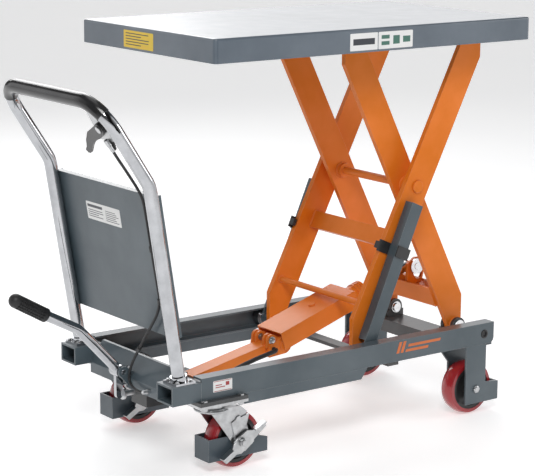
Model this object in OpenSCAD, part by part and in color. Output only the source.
// Mobile foot-pumped scissor lift table, drawn with its platform raised.
// X runs from the push handle (rear) to the fixed wheels (front), Y across, Z up.
// Inside the file X is measured from the platform's middle; place() moves it to the part's own origin.

/* [Platform] */
// Length of the platform
deck_l = 855; // [800:1:900]
// Width of the platform
deck_w = 500; // [490:1:560]
// Height of the platform's top above the floor, raised
deck_top = 910; // [900:1:920]
// Height of the folded skirt
skirt_h = 50; // [46:1:60]
// Sheet thickness of the platform
deck_t = 3; // [2:0.5:4]

/* [Base frame] */
// Half the width over the side rails
rail_out = 220; // [216:1:224]
// Height of the top of the side rails
rail_top = 214; // [212:1:216]
// Height of a side rail
rail_h = 48; // [46:1:50]
// Width of a side rail
rail_w = 30; // [28:1:32]
// Wall of a side rail
rail_t = 4; // [3:0.5:4]
// Rear end of the side rails
rail_x0 = -440; // [-444:1:-438]
// Front end of the side rails
rail_x1 = 374; // [370:1:380]

/* [Scissor] */
// Place of the fixed pivots along X
pivot_x = 345; // [343:1:347]
// Half the horizontal reach of an arm, raised
arm_run = 160; // [159:1:161]
// Height of the lower pivots
pivot_z = 189; // [189:1:190]
// Width of an arm
arm_w = 67; // [64:1:70]
// Thickness of an arm
arm_t = 12; // [10:1:12]
// How far an end pivot sits off the arm's centre line
arm_off = 15.1; // [14:0.1:16]
// Inner face of the outer arms
outer_y = 147; // [147:1:148]
// Inner face of the inner arms
inner_y = 107; // [106:1:108]

/* [Hydraulics] */
// Place of the cylinder's base pin along X
cyl_x = -88; // [-90:1:-86]
// Height of the cylinder's base pin
cyl_z = 190; // [189:1:191]
// Distance of the rod's pin from the fixed pivot
rod_r = 135; // [134:1:136]
// Direction of the rod's pin from the fixed pivot
rod_a = 107.5; // [107:0.5:108]
// Radius of the cylinder's barrel
barrel_r = 25; // [24:1:26]

/* [Handle] */
// Half the distance between the handle's posts
post_y = 194; // [192:1:196]
// Radius of the handle's tube
tube_r = 14; // [13:0.5:15]
// Place of the handle's lower bend along X
bend_x = -546; // [-550:1:-542]
// Height of the handle's lower bend
bend_z = 621; // [616:1:626]
// Length of the upper legs up to the top bar
leg_l = 207; // [204:1:210]
// Bend radius of the handle's corners
corner_r = 70; // [60:1:75]

/* [Wheels] */
// Diameter of the wheels
wheel_d = 125; // [124:1:126]
// Width of a tyre
tyre_w = 36; // [34:1:38]
// Distance of the wheels' middle planes from the centre plane
wheel_y = 187; // [186:1:188]
// Place of the front axle along X
front_x = 322; // [320:1:324]
// Place of the rear swivel axis along X
swivel_x = -392; // [-393:1:-391]
// Trail of the rear wheels behind the swivel axis
trail = 52; // [50:1:54]

/* [Foot pedal] */
// Distance of the pedal's tip behind the platform's middle
pedal_reach = 745; // [740:1:750]
// Offset of the pedal from the centre plane
pedal_y = 25; // [24:1:26]

/* [Hidden] */

$fn = 48;
eps = 0.01;             // overshoot of a cut
run = 0.05;             // radial clearance of a running fit
face_gap = 0.3;         // gap between faces that slide past each other
slate = "#4b5a66";
orange = "#e8710e";
dark = "#2b2f33";
zinc = "#c9ccd0";
chrome = "#d9dcdf";
black = "#1c1c1e";
red = "#b3121d";

x_shift = (pedal_reach - deck_l / 2) / 2;
rail_z0 = rail_top - rail_h;
deck_under = deck_top - deck_t;
skirt_z0 = deck_top - skirt_h;
wheel_r = wheel_d / 2;

// Scissor: pivots A (low) and B (high) of an outer arm; the inner arm mirrors it about the centre
low_roller_r = 18.7;
top_roller_r = 15.7;
top_z = deck_under - 3 - top_roller_r - face_gap;
centre = [pivot_x - arm_run, (pivot_z + top_z) / 2];
arm_half = norm([arm_run, centre[1] - pivot_z]);
arm_angle = atan2(centre[1] - pivot_z, arm_run);
edge_angle = arm_angle - asin(arm_off / arm_half);
tip_r = arm_w / 2 - arm_off;
foot_a = [pivot_x - 2 * arm_run, pivot_z];
head_b = [pivot_x, top_z];
edge_dir = [cos(edge_angle), sin(edge_angle)];
edge_nrm = [sin(edge_angle), -cos(edge_angle)];
outer_out = outer_y + arm_t;
inner_out = inner_y + arm_t;
stub_r = 9;
axle_r = 12;
pin_r = 10;

// Hydraulics: the rod's pin, and the cylinder's direction and pin-to-pin length at rest
rod_pin = [pivot_x + rod_r * cos(rod_a), pivot_z + rod_r * sin(rod_a)];
cyl_angle = atan2(rod_pin[1] - cyl_z, rod_pin[0] - cyl_x);
cyl_len = norm([rod_pin[0] - cyl_x, rod_pin[1] - cyl_z]);
inner_angle = 180 - arm_angle;
cyl_pin_r = 8;
rod_rr = 12.5;

// Handle: lean of the posts and of the upper legs from the vertical
post_lean = 9.46;
leg_lean = 33.4;
outrigger_top = 206;
foot_x = bend_x + (bend_z - outrigger_top) * tan(post_lean);
post_len = (bend_z - outrigger_top) / cos(post_lean);
bend_r = 60;

// Casters
caster_h = 158;
caster_axle_x = swivel_x + trail;
fork_y = 26;
fork_t = 3;

// Pedal
pedal_hub = [-486, 184];
pedal_bend = [-583, 288];
pedal_tip_r = 15;
pedal_tip = [-(pedal_reach - pedal_tip_r), 370];
grip_start = [-660, 329];
pedal_r = 11;

function mid(p) = [2 * centre[0] - p[0], 2 * centre[1] - p[1]];
function along(o, a, s, n) = [o[0] + s * cos(a) + n * sin(a), o[1] + s * sin(a) - n * cos(a)];

module place() { translate([x_shift, 0, 0]) children(); }

// A flat XZ outline made solid between two values of Y
module slab(y0, y1) { translate([0, y1, 0]) rotate([90, 0, 0]) linear_extrude(y1 - y0) children(); }

// A round bar along Y at [x, z]
module pin_y(p, r, y0, y1) { translate([p[0], y1, p[1]]) rotate([90, 0, 0]) cylinder(h = y1 - y0, r = r); }

// A box by its low and high corners
module box(a, b) { translate(a) cube(b - a); }

// A round bar between two points in space
module bar(a, b, r) {
    d = b - a;
    len = norm(d);
    translate(a) rotate([0, acos(d[2] / len), atan2(d[1], d[0])]) cylinder(h = len, r = r);
}

// A tube along a route of points, with mitred corners
function unit(v) = v / norm(v);
function heading(path, i) = unit(unit(path[min(i + 1, len(path) - 1)] - path[min(i, len(path) - 2)])
                               + unit(path[max(i, 1)] - path[max(i - 1, 0)]));

module route_tube(path, r) {
    sides = 10;
    rings = [for (i = [0 : len(path) - 1])
        let (t = heading(path, i), u = unit(cross(t, [0.31, 0.27, 0.91])), v = cross(t, u))
        for (k = [0 : sides - 1])
            let (a = -360 * k / sides) path[i] + r * (cos(a) * u + sin(a) * v)];
    walls = [for (i = [0 : len(path) - 2], k = [0 : sides - 1])
        let (a = i * sides + k, b = i * sides + (k + 1) % sides) each [[a, b, b + sides], [a, b + sides, a + sides]]];
    first = [for (k = [0 : sides - 1]) sides - 1 - k];
    last = [for (k = [0 : sides - 1]) (len(path) - 1) * sides + k];
    polyhedron(points = rings, faces = concat([first], walls, [last]));
}

// The same shape on both sides of the centre plane
module both_sides() {
    children();
    mirror([0, 1, 0]) children();
}

module on_left() { children(); }
module on_right() { mirror([0, 1, 0]) children(); }

module hex_bolt(r, head_h) {
    cylinder(h = head_h, r = r, $fn = 6);
    translate([0, 0, head_h - eps]) cylinder(h = head_h * 0.3, r1 = r * 0.8, r2 = r * 0.6);
}

/* ---------------- base frame ---------------- */

// C channel, open to the inside, with a rounded lower front corner and the pin's access hole
module side_rail() {
    corner = 12;
    hole_r = 9;
    color(slate) place() difference() {
        union() {
            box([rail_x0, rail_out - rail_w, rail_z0], [rail_x1 - corner, rail_out, rail_top]);
            box([rail_x1 - corner - eps, rail_out - rail_w, rail_z0 + corner], [rail_x1, rail_out, rail_top]);
            pin_y([rail_x1 - corner, rail_z0 + corner], corner, rail_out - rail_w, rail_out);
        }
        box([rail_x0 - 1, rail_out - rail_w - 1, rail_z0 + rail_t],
            [rail_x1 + 1, rail_out - rail_t, rail_top - rail_t]);
        pin_y([pivot_x, pivot_z], hole_r, rail_out - rail_t - 1, rail_out + 1);
    }
}

// Inverted U under the rear half of each rail, with a slanted front end
module rail_stiffeners() {
    x0 = -331;
    z0 = 142;
    wall = 3;
    outline = [[x0, z0], [-17, z0], [0, rail_z0], [x0, rail_z0]];
    color(slate) place() both_sides() difference() {
        slab(rail_out - rail_w, rail_out) polygon(outline);
        box([x0 - 1, rail_out - rail_w + wall, z0 - 1], [1, rail_out - wall, rail_z0 - wall]);
    }
}

// Front cross channel between the forks and the flat bar under the rails
module base_crossmembers() {
    x0 = 304;
    x1 = 372;
    z0 = 136;
    half = 153.7;
    color(dark) place() {
        difference() {
            box([x0, -half, z0], [x1, half, rail_z0]);
            box([x0 + rail_t, -half - 1, z0 - 1], [x1 - rail_t, half + 1, rail_z0 - rail_t]);
        }
        box([60, 2 - rail_out, rail_z0 - 8], [90, rail_out - 2, rail_z0]);
    }
}

// Bent sheet across the rear, with a sloping back and a tray that carries the pump
module rear_crossmember() {
    half = 160.7;
    back = [[-434, 214], [-441, 214], [-472, 169], [-472, 146], [-436, 146], [-436, 150], [-468, 150],
            [-468, 168], [-438.5, 210], [-434, 210]];
    color(slate) place() {
        difference() {
            slab(-half, half) polygon(back);
            box([-480, pedal_y - 9, 140], [-440, pedal_y + 9, 188]);
            both_sides() box([-454, 138, 140], [-430, half + 1, rail_z0 + 0.5]);
        }
        box([-436 - eps, -60, 146], [-290, 60, 150]);
        slab(pedal_y - 22, pedal_y - 16) pedal_ear();
        slab(pedal_y + 16, pedal_y + 22) pedal_ear();
    }
}

module pedal_ear() {
    difference() {
        union() {
            translate(pedal_hub) circle(r = 12);
            polygon([[-472, 150], [-472, 169], [-463, 182], [-480, 195.5], [-497, 180]]);
        }
        translate(pedal_hub) circle(r = 6);
        polygon([[-471, 140], [-471, 169.5], [-440, 214.5], [-430, 140]]);
    }
}

// Box channels behind the rails that carry the handle, open at the rear
module outriggers() {
    wall = 4;
    x0 = -511;
    y0 = 161;
    color(slate) place() both_sides() difference() {
        box([x0, y0, rail_z0], [rail_x0, rail_out, outrigger_top]);
        box([x0 - 1, y0 + wall, rail_z0 + wall], [rail_x0 - wall, rail_out - wall, outrigger_top - wall]);
    }
}

// Fixed forks of the front wheels with a foot guard round the front
module front_forks() {
    foot_lo = 28;
    foot_hi = 73;
    x0 = front_x - 30;
    x1 = front_x + 30;
    guard_x = front_x + 70;
    color(slate) place() both_sides() difference() {
        union() {
            slab(rail_out - 5, rail_out)
                polygon([[x0, foot_lo], [guard_x, foot_lo], [guard_x, foot_hi - 2], [x1, foot_hi + 2],
                         [x1, rail_z0], [x0, rail_z0]]);
            slab(154, 159)
                polygon([[x0, foot_lo], [guard_x, foot_lo], [guard_x, foot_hi - 2], [x1 + 20, foot_hi + 2],
                         [x1 + 20, rail_z0], [270, rail_z0], [270, rail_z0 - 20], [x0, 118]]);
            box([x0, 158, rail_z0 - 6], [x1 + 20, rail_out - 4, rail_z0]);
            box([guard_x - 5, 158, foot_lo], [guard_x, rail_out - 4, foot_hi - 2]);
        }
        pin_y([front_x, wheel_r], 6, 150, 225);
    }
}

module caster_flanges() {
    color(dark) place() both_sides() difference() {
        box([swivel_x - 60, wheel_y - 48, caster_h], [swivel_x + 60, wheel_y + 48, rail_z0]);
        caster_bolt_places() translate([0, 0, -eps]) cylinder(h = 20, r = 5);
    }
}

module caster_bolt_places() {
    for (dx = [-46, 46], dy = [-37, 40])
        translate([swivel_x + dx, wheel_y + dy, caster_h - 6]) children();
}

// Zinc top plates with the fixed half of the swivel head and its pin
module caster_top_plates() {
    color(zinc) place() both_sides() difference() {
        union() {
            box([swivel_x - 60, wheel_y - 48, caster_h - 6], [swivel_x + 60, wheel_y + 48, caster_h]);
            translate([swivel_x, wheel_y, 140]) cylinder(h = 12 + eps, r = 27);
            translate([swivel_x, wheel_y, 126]) cylinder(h = 20, r = 8);
            translate([swivel_x, wheel_y, 125]) cylinder(h = 6.7, r = 13);
        }
        caster_bolt_places() translate([0, 0, -1]) cylinder(h = 20, r = 5);
    }
}

// Caster bolts and the front axle bolts
module frame_bolts() {
    color(zinc) place() both_sides() {
        caster_bolt_places() {
            translate([0, 0, 14]) hex_bolt(7.5, 3);
            cylinder(h = 14 + eps, r = 5);
            rotate([180, 0, 0]) hex_bolt(7.5, 5);
        }
        pin_y([front_x, wheel_r], 6, 153, rail_out + 1);
        translate([front_x, rail_out, wheel_r]) rotate([-90, 0, 0]) hex_bolt(9, 5);
        translate([front_x, 154, wheel_r]) rotate([90, 0, 0]) hex_bolt(9, 6);
    }
}

/* ---------------- handle ---------------- */

// Frame of the handle's upper, planar part: Y across, Z up the legs
module on_legs() { translate([bend_x, 0, bend_z]) rotate([0, -leg_lean, 0]) children(); }

module ring(r, wall) {
    difference() {
        circle(r = r);
        circle(r = r - wall);
    }
}

// Corners and top bar of the handle, for its tube and its sleeve
module top_run(r, wall, sweep = 90) {
    on_legs() {
        both_sides() translate([0, post_y - corner_r, leg_l - corner_r]) rotate([90, 0, 90])
            rotate([0, 0, 90 - sweep]) rotate_extrude(angle = sweep) translate([corner_r, 0]) ring(r, wall);
        translate([0, corner_r - post_y, leg_l]) rotate([-90, 0, 0])
            linear_extrude(2 * (post_y - corner_r)) ring(r, wall);
    }
}

// A section carried up one lean, round a bend and on up a second lean
module bent_run(at, lean0, lean1, bend, before, after) {
    turn = lean1 - lean0;
    reach = bend * tan(turn / 2);
    translate(at) rotate([0, -lean0, 0]) {
        translate([0, 0, -before]) linear_extrude(before - reach) children();
        translate([-bend, 0, -reach]) rotate([90, 0, 0]) rotate_extrude(angle = turn)
            translate([bend, 0]) children();
    }
    translate(at) rotate([0, -lean1, 0]) translate([0, 0, reach]) linear_extrude(after - reach) children();
}

// Posts, lower bends, upper legs, corners and top bar of the handle
module handle_tube() {
    wall = 2;
    foot_gap = 2.4;
    color(chrome) place() {
        both_sides() bent_run([bend_x, post_y, bend_z], post_lean, leg_lean, bend_r, post_len - foot_gap,
            leg_l - corner_r) ring(tube_r, wall);
        top_run(tube_r, wall);
    }
}

// Soft sleeve over the top bar and the upper part of both corners
module handle_grip() { color(black) place() top_run(tube_r + 1.5, 1.5, 55); }

// Collars that clamp the posts to the outriggers
module handle_sockets() {
    collar_h = 16;
    color(chrome) place() both_sides() difference() {
        union() {
            box([foot_x - 24, post_y - 24, outrigger_top], [foot_x + 24, post_y + 24, outrigger_top + 5]);
            translate([foot_x, post_y, outrigger_top]) rotate([0, -post_lean, 0])
                cylinder(h = collar_h, r = tube_r + 4);
        }
        translate([foot_x, post_y, outrigger_top]) rotate([0, -post_lean, 0])
            translate([0, 0, -20]) cylinder(h = 60, r = tube_r);
        box([foot_x - 40, post_y - 40, rail_z0], [foot_x + 40, post_y + 40, outrigger_top]);
    }
}

// Folded sheet on the front of the posts
module back_panel() {
    panel_z0 = 288;
    panel_h = 305;
    side_far = 200;
    side_near = -182;
    fold = 2;
    color(slate) place()
        translate([bend_x, 0, bend_z]) rotate([0, -post_lean, 0]) translate([0, 0, panel_z0 - bend_z]) {
            box([tube_r, side_near, 0], [tube_r + fold, side_far, panel_h]);
            box([tube_r + fold - eps, side_far - fold, 0], [tube_r + 16, side_far, panel_h]);
            box([tube_r + fold - eps, side_near, 0], [tube_r + 16, side_near + fold, panel_h]);
            box([tube_r + fold - eps, side_near, 0], [tube_r + 12, side_far, fold]);
            box([tube_r + fold - eps, side_near, panel_h - fold], [tube_r + 12, side_far, panel_h]);
        }
}

// Gusset across the near corner of the handle, which carries the release lever
module lever_bracket() {
    lever_pin = [-146, 143];
    gusset = [[-124, 191.4], [-118, 150], [-114, 109], [-168, 109], [-180, 122], [-180, 134],
              [-164, 172], [-150, 184], [-140, 188.7]];
    color(zinc) place() on_legs() {
        difference() {
            rotate([90, 0, 90]) translate([0, 0, -2]) linear_extrude(3) polygon(gusset);
            rotate([90, 0, 90]) translate([lever_pin[0], lever_pin[1], -5]) cylinder(h = 10, r = 4);
        }
        rotate([90, 0, 90]) translate([lever_pin[0], lever_pin[1], -10]) cylinder(h = 14, r = 4);
        rotate([90, 0, 90]) translate([lever_pin[0], lever_pin[1], -12]) cylinder(h = 2.5, r = 8);
        rotate([90, 0, 90]) translate([lever_pin[0], lever_pin[1], 1]) cylinder(h = 3, r = 7);
    }
}

// Hooked lever behind the gusset
module release_lever() {
    lever_pin = [-146, 143];
    color(black) place() on_legs() rotate([90, 0, 90]) translate([0, 0, -9]) linear_extrude(6.7) difference() {
        union() {
            translate(lever_pin) circle(r = 13);
            polygon([[-150, 130], [-146, 156], [-119, 143], [-88, 128], [-62, 104], [-46, 84], [-33, 74],
                     [-37, 66], [-47, 67], [-66, 84], [-84, 97], [-108, 110], [-128, 117]]);
        }
        translate(lever_pin) circle(r = 4 + run);
    }
}

// Control cable from the lever to the pump, clipped along the near post
cable_route = [[-622, -156, 714], [-611, -158, 697], [-597, -159, 676], [-583, -161, 655], [-569, -164, 633],
               [-557, -168, 612], [-549, -172, 592], [-543, -173, 566], [-536, -173, 528], [-529, -173, 488],
               [-521, -173, 442], [-513, -172, 402], [-507, -168, 376], [-500, -148, 345], [-494, -119, 315],
               [-488, -84, 280], [-483, -52, 246], [-480, -26, 216], [-479, -12, 194], [-480, -8, 178],
               [-482, -14, 166], [-483, -28, 158], [-484, -46, 155], [-484, -62, 156], [-481, -74, 158], [-472, -74, 158]];
cable_r = 3;

module release_cable() {
    color(black) place() route_tube(cable_route, cable_r);
}

/* ---------------- hydraulics on the base ---------------- */

// Welded strut from the tray up to the clevis of the cylinder's base pin
module pump_strut() {
    ear_in = 27;
    ear_out = 35;
    strut_dir = 11.4;
    color(orange) place() {
        both_sides() difference() {
            union() {
                pin_y([cyl_x, cyl_z], 20, ear_in, ear_out);
                slab(ear_in, ear_out) polygon([along([cyl_x, cyl_z], strut_dir, -40, 15),
                    along([cyl_x, cyl_z], strut_dir, 0, 20), along([cyl_x, cyl_z], strut_dir, 0, -20),
                    along([cyl_x, cyl_z], strut_dir, -40, -11)]);
            }
            pin_y([cyl_x, cyl_z], cyl_pin_r, ear_in - 1, ear_out + 1);
        }
        difference() {
            slab(-ear_out, ear_out) polygon([along([cyl_x, cyl_z], strut_dir, -240, 15),
                along([cyl_x, cyl_z], strut_dir, -34, 15), along([cyl_x, cyl_z], strut_dir, -30, -11),
                along([cyl_x, cyl_z], strut_dir, -240, -11)]);
            box([-400, -50, 100], [0, 50, 150]);
            for (s = [-1, 1]) box([-400, s * 36 - 16, 100], [-128, s * 36 + 16, 250]);
        }
        pin_y([cyl_x, cyl_z], cyl_pin_r, -ear_out - 1, ear_out + 1);
        both_sides() pin_y([cyl_x, cyl_z], 12, ear_out + eps, ear_out + 3.5);
    }
}

// Valve block with its oil tank below the tray
module pump_body() {
    bore_z = 130;
    color(dark) place() difference() {
        union() {
            box([-434, pedal_y - 30, 98], [-372, pedal_y + 30, 146]);
            translate([-372 - eps, pedal_y - 6, 118]) rotate([0, 90, 0]) cylinder(h = 74, r = 28);
            translate([-299, pedal_y - 6, 118]) rotate([0, 90, 0]) cylinder(h = 6, r = 22);
            translate([-402, pedal_y - 44, 124]) rotate([-90, 0, 0]) cylinder(h = 20, r = 9);
        }
        translate([-435, pedal_y, bore_z]) rotate([0, 90, 0]) cylinder(h = 50, r = 7 + run);
    }
}

// Pressure hose from the valve block, along the strut, to the cylinder's base pin
hose_route = [[-402, -19, 124], [-402, -34, 124], [-386, -50, 126], [-366, -62, 132], [-340, -66, 140],
              [-300, -66, 150], [-260, -62, 160], [-220, -56, 168], [-180, -53, 176], [-140, -52, 183],
              [-124, -50, 185], [-118, -45, 185], [-118, -35, 185]];

module pump_hose() {
    color(black) place() route_tube(hose_route, 5);
}

// Lugs on the front cross channel, one each side of both inner arms
module base_lugs() {
    color(dark) place() both_sides() for (y = [92, 124.5]) difference() {
        union() {
            pin_y([pivot_x, pivot_z], 20, y, y + 8);
            box([pivot_x - 24, y, rail_z0], [pivot_x + 24, y + 8, pivot_z - 6]);
        }
        pin_y([pivot_x, pivot_z], pin_r, y - 1, y + 9);
    }
}

// Headed pins with snap rings at their inner ends
module base_pivot_pins() {
    color(chrome) place() both_sides() {
        pin_y([pivot_x, pivot_z], pin_r, 86, 133);
        pin_y([pivot_x, pivot_z], 15, 132.5 + eps, 136);
        pin_y([pivot_x, pivot_z], 14, 89.5, 92);
    }
}

/* ---------------- foot pedal ---------------- */

// Hub, crank and bent tube
module pedal_tube() {
    crank = 54;
    hub_half = 15.7;
    lower = pedal_bend - pedal_hub;
    upper = grip_start - pedal_bend;
    color(chrome) place() {
        difference() {
            union() {
                pin_y(pedal_hub, 14, pedal_y - hub_half, pedal_y + hub_half);
                slab(pedal_y - 5, pedal_y + 5)
                    polygon([[pedal_hub[0] - 9, pedal_hub[1]], [pedal_hub[0] + 9, pedal_hub[1]],
                             [pedal_hub[0] + 8, pedal_hub[1] - crank], [pedal_hub[0] - 8, pedal_hub[1] - crank]]);
                pin_y([pedal_hub[0], pedal_hub[1] - crank], 8, pedal_y - 5, pedal_y + 5);
            }
            pin_y(pedal_hub, 6 + run, pedal_y - 20, pedal_y + 20);
        }
        difference() {
            bent_run([pedal_bend[0], pedal_y, pedal_bend[1]], atan2(-lower[0], lower[1]),
                atan2(-upper[0], upper[1]), 40, norm(lower), norm(upper)) circle(r = pedal_r);
            pin_y(pedal_hub, 14, pedal_y - 20, pedal_y + 20);
        }
    }
}

// Ribbed foot grip with a rounded end
module pedal_grip() {
    a = [grip_start[0] - 0.5, pedal_y, grip_start[1] + 0.3];
    b = [pedal_tip[0], pedal_y, pedal_tip[1]];
    d = b - a;
    ribs = 11;
    pitch = (norm(d) - 6) / ribs;
    color(black) place() translate(a) rotate([0, acos(d[2] / norm(d)), 180]) rotate_extrude() difference() {
        union() {
            square([pedal_tip_r, norm(d)]);
            translate([0, norm(d)]) intersection() {
                circle(r = pedal_tip_r);
                square([pedal_tip_r, pedal_tip_r - 0.5]);
            }
        }
        for (i = [0 : ribs - 1])
            translate([pedal_tip_r - 1.6, 4 + i * pitch]) square([4, pitch * 0.4]);
    }
}

// Spring-return plunger, pushed by the crank
module pump_plunger() {
    head_x = pedal_hub[0] + 8 + face_gap;
    color(zinc) place() translate([head_x, pedal_y, 130]) rotate([0, 90, 0]) {
        cylinder(h = 4, r = 13);
        cylinder(h = 52, r = 7);
    }
}

/* ---------------- scissor arms ---------------- */

// An outer arm's outline: a straight bar cut upright at both ends, with round tips at its pivots
module arm_outline() {
    low_z = centre[1] + arm_w / 2 * edge_dir[0]
          + (foot_a[0] - tip_r - centre[0] + arm_w / 2 * edge_dir[1]) * tan(edge_angle);
    corner = [foot_a[0] - tip_r, low_z];
    tangent = [foot_a[0] + tip_r * edge_nrm[0], foot_a[1] + tip_r * edge_nrm[1]];
    side = [foot_a[0] - tip_r, foot_a[1]];
    polygon([side, corner, mid(tangent), mid(side), mid(corner), tangent]);
}

module arm_plate(y0, y1) {
    slab(y0, y1) arm_outline();
    pin_y(foot_a, tip_r, y0, y1);
    pin_y(head_b, tip_r, y0, y1);
}

// Outer arm: roller stub low at the rear, fixed-pivot bore high at the front
module outer_arm() {
    color(orange) place() {
        difference() {
            arm_plate(outer_y, outer_out);
            pin_y(centre, axle_r + run, outer_y - 1, outer_out + 1);
            pin_y(head_b, pin_r + run, outer_y - 1, outer_out + 1);
        }
        pin_y(foot_a, stub_r, outer_out - eps, rail_out - rail_t - 1);
        pin_y(foot_a, 12, 188.5, 191.5);
    }
}

// Inner arm: pivot boss low at the front, roller stub high at the rear
module inner_arm() {
    boss_in = 100.4;
    boss_out = 124.1;
    color(orange) place() {
        difference() {
            union() {
                translate([2 * centre[0], 0, 0]) mirror([1, 0, 0]) arm_plate(inner_y, inner_out);
                pin_y([pivot_x, pivot_z], 16, boss_in, boss_out);
            }
            pin_y(centre, axle_r, inner_y - 1, inner_out + 1);
            pin_y([pivot_x, pivot_z], pin_r + run, boss_in - 1, boss_out + 1);
        }
        pin_y([foot_a[0], top_z], stub_r, inner_out - eps, 143.5);
        pin_y([foot_a[0], top_z], 12, inner_out - eps, inner_out + 3);
    }
}

// Rectangular tube between the inner arms, with its front plate and the slotted lugs of the rod
module inner_cross_tube() {
    o = [pivot_x, pivot_z];
    a = inner_angle;
    rod_s = rod_r * cos(inner_angle - rod_a);
    rod_n = rod_r * sin(inner_angle - rod_a);
    slot_down = 21;
    slot_r = 11.6;
    lug_in = 18;
    lug_out = 25;
    wall = 3;
    color(orange) place() {
        difference() {
            slab(-inner_y, inner_y) polygon([along(o, a, 66, -22), along(o, a, 66, 22), along(o, a, 96, 22),
                along(o, a, 96, -22)]);
            slab(-inner_y - 1, inner_y + 1) polygon([along(o, a, 66 + wall, -22 + wall),
                along(o, a, 66 + wall, 22 - wall), along(o, a, 96 - wall, 22 - wall),
                along(o, a, 96 - wall, -22 + wall)]);
        }
        slab(-inner_y, inner_y) polygon([along(o, a, 66, -26), along(o, a, 66, -22), along(o, a, 116, -22),
            along(o, a, 116, -26)]);
        both_sides() difference() {
            slab(lug_in, lug_out) polygon([along(o, a, 94, -20), along(o, a, 94, 20),
                along(o, a, 112, 34), along(o, a, rod_s + 14, 34), along(o, a, rod_s + 20, rod_n + 6),
                along(o, a, rod_s + 18, -4), along(o, a, 116, -20)]);
            for (s = [0, slot_down]) pin_y(along(o, a, rod_s - s, rod_n - 2.6), slot_r, lug_in - 1, lug_out + 1);
            slab(lug_in - 1, lug_out + 1) polygon([along(o, a, rod_s, rod_n - 2.6 - slot_r),
                along(o, a, rod_s, rod_n - 2.6 + slot_r), along(o, a, rod_s - slot_down, rod_n - 2.6 + slot_r),
                along(o, a, rod_s - slot_down, rod_n - 2.6 - slot_r)]);
        }
    }
}

// Axle through all four arms, with weld bosses, spacers and button heads
module centre_axle() {
    color(orange) place() {
        pin_y(centre, 9, -96, 96);
        both_sides() {
            pin_y(centre, 16, 95, inner_y);
            pin_y(centre, axle_r, inner_y - eps, outer_out + 1);
            pin_y(centre, 17, inner_out, outer_y - face_gap);
            pin_y(centre, 14, outer_out + face_gap, outer_out + 4);
        }
    }
}

// Rectangular tube and round tie bar between the outer arms
module outer_cross_tubes() {
    o = foot_a;
    a = arm_angle;
    s = 256;
    n = 10;
    wall = 3;
    color(orange) place() {
        difference() {
            slab(-outer_y, outer_y) polygon([along(o, a, s - 20, n - 12), along(o, a, s - 20, n + 12),
                along(o, a, s + 20, n + 12), along(o, a, s + 20, n - 12)]);
            slab(-outer_y - 1, outer_y + 1) polygon([along(o, a, s - 20 + wall, n - 12 + wall),
                along(o, a, s - 20 + wall, n + 12 - wall), along(o, a, s + 20 - wall, n + 12 - wall),
                along(o, a, s + 20 - wall, n - 12 + wall)]);
        }
        pin_y(along(o, a, 97, -29), 7, -outer_y, outer_y);
    }
}

// Clips that hold the safety props beside the outer arms
prop_half = 16;
prop_in = 163;
prop_out = 187;
prop_len = 345;
prop_angle = arm_angle + 0.8;
clip_s = 232;

module prop_clips() {
    o = foot_a;
    a = prop_angle;
    jaw = 3;
    color(black) place() both_sides() {
        slab(outer_out, prop_in - 0.5) polygon([along(o, a, clip_s - 13, -40), along(o, a, clip_s - 13, 20),
            along(o, a, clip_s + 13, 20), along(o, a, clip_s + 13, -40)]);
        slab(prop_in - 1, prop_out + 1.2 + jaw) polygon([along(o, a, clip_s - 13, 17.2),
            along(o, a, clip_s - 13, 20.5), along(o, a, clip_s + 13, 20.5), along(o, a, clip_s + 13, 17.2)]);
        slab(prop_out + 1.2, prop_out + 1.2 + jaw) polygon([along(o, a, clip_s - 13, -17),
            along(o, a, clip_s - 13, 18), along(o, a, clip_s + 13, 18), along(o, a, clip_s + 13, -17)]);
        slab(outer_y + 1, outer_out + eps) polygon([along(o, a, clip_s - 8, -48),
            along(o, a, clip_s - 8, -39.4), along(o, a, clip_s + 8, -39.4), along(o, a, clip_s + 8, -48)]);
        slab(outer_out - eps, prop_in - 0.5) polygon([along(o, a, clip_s - 13, -48),
            along(o, a, clip_s - 13, -39), along(o, a, clip_s + 13, -39), along(o, a, clip_s + 13, -48)]);
    }
}

// U-section strut on the roller's stub
module safety_prop() {
    o = foot_a;
    a = prop_angle;
    wall = 3;
    boss_r = 14;
    color(slate) place() difference() {
        union() {
            difference() {
                slab(prop_in, prop_out) polygon([along(o, a, 24, -prop_half), along(o, a, 24, prop_half),
                    along(o, a, prop_len, prop_half), along(o, a, prop_len, -prop_half)]);
                slab(prop_in - 1, prop_out - wall) polygon([along(o, a, 0, wall - prop_half),
                    along(o, a, 0, prop_half - wall), along(o, a, prop_len + 1, prop_half - wall),
                    along(o, a, prop_len + 1, wall - prop_half)]);
            }
            slab(prop_out - wall, prop_out) polygon([along(o, a, 0, -boss_r), along(o, a, 0, boss_r),
                along(o, a, 25, prop_half), along(o, a, 25, -prop_half)]);
            pin_y(o, boss_r, prop_in, prop_out);
        }
        pin_y(o, stub_r + run, prop_in - 1, prop_out + 1);
    }
}

module low_roller() {
    color(dark) place() difference() {
        union() {
            pin_y(foot_a, low_roller_r, 193, 212);
            pin_y(foot_a, 14, 192, 213);
        }
        pin_y(foot_a, stub_r + run, 190, 215);
    }
}

module top_roller() {
    color(dark) place() difference() {
        pin_y([foot_a[0], top_z], top_roller_r, inner_out + 4, 142);
        pin_y([foot_a[0], top_z], stub_r + run, inner_out, 145);
    }
}

/* ---------------- platform ---------------- */

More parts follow.
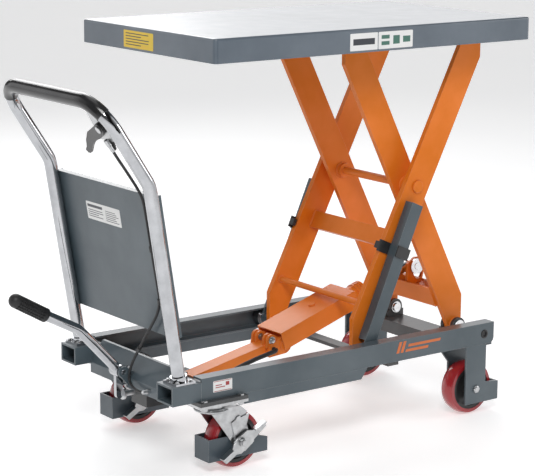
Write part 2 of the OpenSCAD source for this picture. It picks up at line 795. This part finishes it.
module deck_block(inset, z0, z1, edge) {
    r = 9 - inset;
    hull() for (sx = [-1, 1], sy = [-1, 1])
        translate([sx * (deck_l / 2 - inset - r), sy * (deck_w / 2 - inset - r), z0]) {
            cylinder(h = z1 - z0 - edge, r = r, $fn = 32);
            translate([0, 0, z1 - z0 - edge]) rotate_extrude($fn = 32) intersection() {
                translate([r - edge, 0]) circle(r = edge, $fn = 32);
                square([r, edge]);
            }
            cylinder(h = z1 - z0, r = r - edge, $fn = 32);
        }
}

// Pressed tray with a folded skirt
module platform_deck() {
    color(slate) place() difference() {
        deck_block(0, skirt_z0, deck_top, 5);
        deck_block(deck_t, skirt_z0 - 10, deck_under, 3);
    }
}

// Roller channels, open to the inside, and two stiffening ribs
module deck_channels() {
    x0 = -423;
    x1 = 50;
    y0 = 122;
    y1 = 147;
    z0 = top_z - top_roller_r - face_gap - 4;
    color(slate) place() {
        both_sides() difference() {
            box([x0, y0, z0], [x1, y1, deck_under]);
            box([x0 - 1, y0 - 1, z0 + 4], [x1 + 1, y1 - 3, deck_under - 3]);
        }
        for (x = [-250, -60, 200]) difference() {
            box([x - 20, -100, deck_under - 18], [x + 20, 100, deck_under]);
            box([x - 17, -101, deck_under - 19], [x + 17, 101, deck_under - 3]);
        }
    }
}

module deck_lugs() {
    color(slate) place() both_sides() for (y = [136, 162]) difference() {
        union() {
            pin_y(head_b, 18, y, y + 8);
            box([pivot_x - 22, y, top_z + 2], [pivot_x + 22, y + 8, deck_under]);
        }
        pin_y(head_b, pin_r, y - 1, y + 9);
    }
}

module deck_pins() {
    color(chrome) place() both_sides() {
        pin_y(head_b, pin_r, 132, 171);
        pin_y(head_b, 14, 170 + eps, 174);
        pin_y(head_b, 14, 133, 136);
    }
}

/* ---------------- cylinder ---------------- */

// Frame of the cylinder: X along it from the base pin
module on_cylinder() { translate([cyl_x, 0, cyl_z]) rotate([0, -cyl_angle, 0]) children(); }

module along_x(x0, x1, r) { translate([x0, 0, 0]) rotate([0, 90, 0]) cylinder(h = x1 - x0, r = r); }

// Barrel with its eye, gland and grooves
module cylinder_tube() {
    color(orange) place() on_cylinder() difference() {
        union() {
            translate([0, 26, 0]) rotate([90, 0, 0]) cylinder(h = 52, r = 17);
            box([0, -17, -16], [24, 17, 16]);
            along_x(20, 240, barrel_r);
            along_x(239, 262, barrel_r + 2);
        }
        translate([0, 27, 0]) rotate([90, 0, 0]) cylinder(h = 54, r = cyl_pin_r + run);
        along_x(44, 246, barrel_r - 5);
        along_x(245, 263, rod_rr + run);
        for (x = [245, 252]) difference() {
            along_x(x, x + 2.5, barrel_r + 4);
            along_x(x - 1, x + 4, barrel_r);
        }
    }
}

// Inverted trough over the cylinder, on two saddles
module cylinder_cover() {
    half = 44;
    wall = 3;
    top = 34;
    x1 = 214;
    color(orange) place() on_cylinder() {
        difference() {
            box([-6, -half, -8], [x1, half, top]);
            box([-7, -half + wall, -9], [x1 + 1, half - wall, top - wall]);
        }
        for (x = [60, 190]) difference() {
            box([x, -half + wall - eps, -6], [x + 5, half - wall + eps, top - wall + eps]);
            along_x(x - 1, x + 6, barrel_r);
        }
        translate([120, 0, top - eps]) cylinder(h = 4, r = 8);
    }
}

// Piston, rod, eye and its pin with washers
module piston_rod() {
    color(chrome) place() on_cylinder() {
        along_x(205, 228, barrel_r - 5.3);
        along_x(227, cyl_len - 10, rod_rr);
        translate([cyl_len, 17.2, 0]) rotate([90, 0, 0]) cylinder(h = 34.4, r = 14.5);
        translate([cyl_len, 31, 0]) rotate([90, 0, 0]) cylinder(h = 62, r = 8);
        for (s = [0, 1]) mirror([0, s, 0]) translate([cyl_len, 30, 0]) rotate([90, 0, 0]) cylinder(h = 4, r = 18.6);
    }
}

/* ---------------- casters and wheels ---------------- */

// Casters are all one hand: each is drawn on the centre plane and moved to its side
module rear_left() { translate([0, wheel_y, 0]) children(); }
module rear_right() { translate([0, -wheel_y, 0]) children(); }

// Crown, two slanted legs with the axle bolt, and the plate behind the brake pedal
module caster_fork() {
    axle = [caster_axle_x, wheel_r];
    x = swivel_x;
    leg = [[x - 24, 139.7], [x + 52, 139.7], [x + 70, 125], [x + 61, 96], [axle[0] + 33, wheel_r + 10],
           [axle[0] + 37, wheel_r - 8], [axle[0] + 14, wheel_r - 25], [axle[0] - 13, wheel_r - 19],
           [axle[0] - 19, wheel_r - 2]];
    brake_plate = [[x + 29, 106], [x + 40, 111], [x + 42, 116], [x + 50, 119], [x + 52, 114], [x + 74, 120],
                   [x + 68, 97], [axle[0] + 22, wheel_r + 12], [axle[0] + 22, wheel_r - 10],
                   [axle[0] - 12, wheel_r - 10], [axle[0] - 14, wheel_r + 8]];
    color(zinc) place() difference() {
        union() {
            translate([x, 0, 132]) cylinder(h = 7.7, r = 33);
            slab(fork_y, fork_y + fork_t) polygon(leg);
            slab(-fork_y - fork_t, -fork_y) polygon(leg);
            slab(-fork_y - fork_t - 3, -fork_y - fork_t + eps) polygon(brake_plate);
            box([x - 20, -fork_y - 1, 132], [x + 50, fork_y + 1, 139.7]);
            pin_y(axle, 6, -44, 40);
            pin_y(axle, 9.5, -45, -40.5);
            pin_y(axle, 9.5, 29 - eps, 40);
        }
        translate([x, 0, 131]) cylinder(h = 10, r = 8 + run);
    }
}

// Foot guard between the fork's legs, open to the front
module caster_guard() {
    z0 = 27;
    z1 = 76;
    x0 = swivel_x - 25;
    x1 = swivel_x + 126;
    t = 3;
    color(slate) place() difference() {
        slab(-fork_y, fork_y) polygon([[x0, z0], [x1, z0], [x1, z1 - 18], [x1 - 40, z1 - 6],
            [swivel_x + 60, z1], [x0, z1]]);
        box([x0 + t, t - fork_y, z0 - 1], [x1 + 1, fork_y - t, z1 + 1]);
        pin_y([caster_axle_x, wheel_r], 6, -50, 50);
    }
}

// Rocker pedal on the axle, with a folded tread at both ends
module brake_pedal() {
    o = [caster_axle_x, wheel_r];
    tilt = 31;
    y1 = -36;
    color(zinc) place() difference() {
        union() {
            slab(y1 - 4, y1) polygon([along(o, tilt, -61, -3), along(o, tilt, -56, 13), along(o, tilt, -26, 13),
                along(o, tilt, -16, 19), along(o, tilt, 18, 19), along(o, tilt, 26, 14), along(o, tilt, 65, 10),
                along(o, tilt, 63, -2), along(o, tilt, 33, -5), along(o, tilt, 22, -14), along(o, tilt, -6, -15),
                along(o, tilt, -21, -10), along(o, tilt, -30, -3)]);
            slab(y1 - 15, y1) polygon([along(o, tilt, -62, -3), along(o, tilt, -62, -6.5),
                along(o, tilt, -31, -6.5), along(o, tilt, -30, -3)]);
            slab(y1 - 15, y1) polygon([along(o, tilt, 34, -5), along(o, tilt, 35, -8.5),
                along(o, tilt, 65, -5.5), along(o, tilt, 64, -2)]);
        }
        pin_y(o, 6 + run, y1 - 20, y1 + 1);
    }
}

// Tyre with a crowned tread
module tyre(x) {
    band = 12;
    crown = 10;
    color(red) place() translate([x, wheel_y, wheel_r]) rotate([90, 0, 0]) rotate_extrude($fn = 96) {
        translate([wheel_r - band, -tyre_w / 2 + 2]) square([band - 3, tyre_w - 4]);
        intersection() {
            translate([wheel_r - crown * 4, 0]) circle(r = crown * 4, $fn = 96);
            translate([wheel_r - band, -tyre_w / 2]) square([band, tyre_w]);
        }
    }
}

// Wheel centre with a recessed web and a hub
module hub(x) {
    rim = wheel_r - 12;
    hub_half = 22;
    color(black) place() translate([x, wheel_y, wheel_r]) rotate([90, 0, 0]) difference() {
        union() {
            translate([0, 0, -tyre_w / 2 + 1]) cylinder(h = tyre_w - 2, r = rim, $fn = 96);
            translate([0, 0, -hub_half]) cylinder(h = 2 * hub_half, r = 16);
        }
        for (s = [-1, 1]) translate([0, 0, s * 15 - 9]) difference() {
            cylinder(h = 18, r = rim - 8);
            translate([0, 0, -1]) cylinder(h = 20, r = 16);
        }
        translate([0, 0, -30]) cylinder(h = 60, r = 6 + run);
    }
}

on_left() side_rail();  // side_rail_left
on_right() side_rail();  // side_rail_right
rail_stiffeners();
base_crossmembers();
rear_crossmember();
outriggers();
front_forks();
caster_flanges();
caster_top_plates();
frame_bolts();
handle_tube();
handle_grip();
handle_sockets();
back_panel();
lever_bracket();
release_cable();
pump_strut();
pump_body();
pump_hose();
base_lugs();
base_pivot_pins();
pedal_tube();
pedal_grip();
pump_plunger();
release_lever();
on_left() inner_arm();  // inner_arm_left
on_right() inner_arm();  // inner_arm_right
inner_cross_tube();
centre_axle();
on_left() outer_arm();  // outer_arm_left
on_right() outer_arm();  // outer_arm_right
outer_cross_tubes();
prop_clips();
platform_deck();
deck_channels();
deck_lugs();
deck_pins();
on_left() top_roller();  // upper_roller_left
on_right() top_roller();  // upper_roller_right
on_left() low_roller();  // lower_roller_left
on_right() low_roller();  // lower_roller_right
cylinder_tube();
cylinder_cover();
piston_rod();
on_left() safety_prop();  // safety_prop_left
on_right() safety_prop();  // safety_prop_right
rear_left() caster_fork();  // caster_fork_left
rear_right() caster_fork();  // caster_fork_right
rear_left() caster_guard();  // caster_guard_left
rear_right() caster_guard();  // caster_guard_right
rear_left() brake_pedal();  // brake_pedal_left
rear_right() brake_pedal();  // brake_pedal_right
on_left() tyre(caster_axle_x);  // rear_tyre_left
on_right() tyre(caster_axle_x);  // rear_tyre_right
on_left() hub(caster_axle_x);  // rear_hub_left
on_right() hub(caster_axle_x);  // rear_hub_right
on_left() tyre(front_x);  // front_tyre_left
on_right() tyre(front_x);  // front_tyre_right
on_left() hub(front_x);  // front_hub_left
on_right() hub(front_x);  // front_hub_right
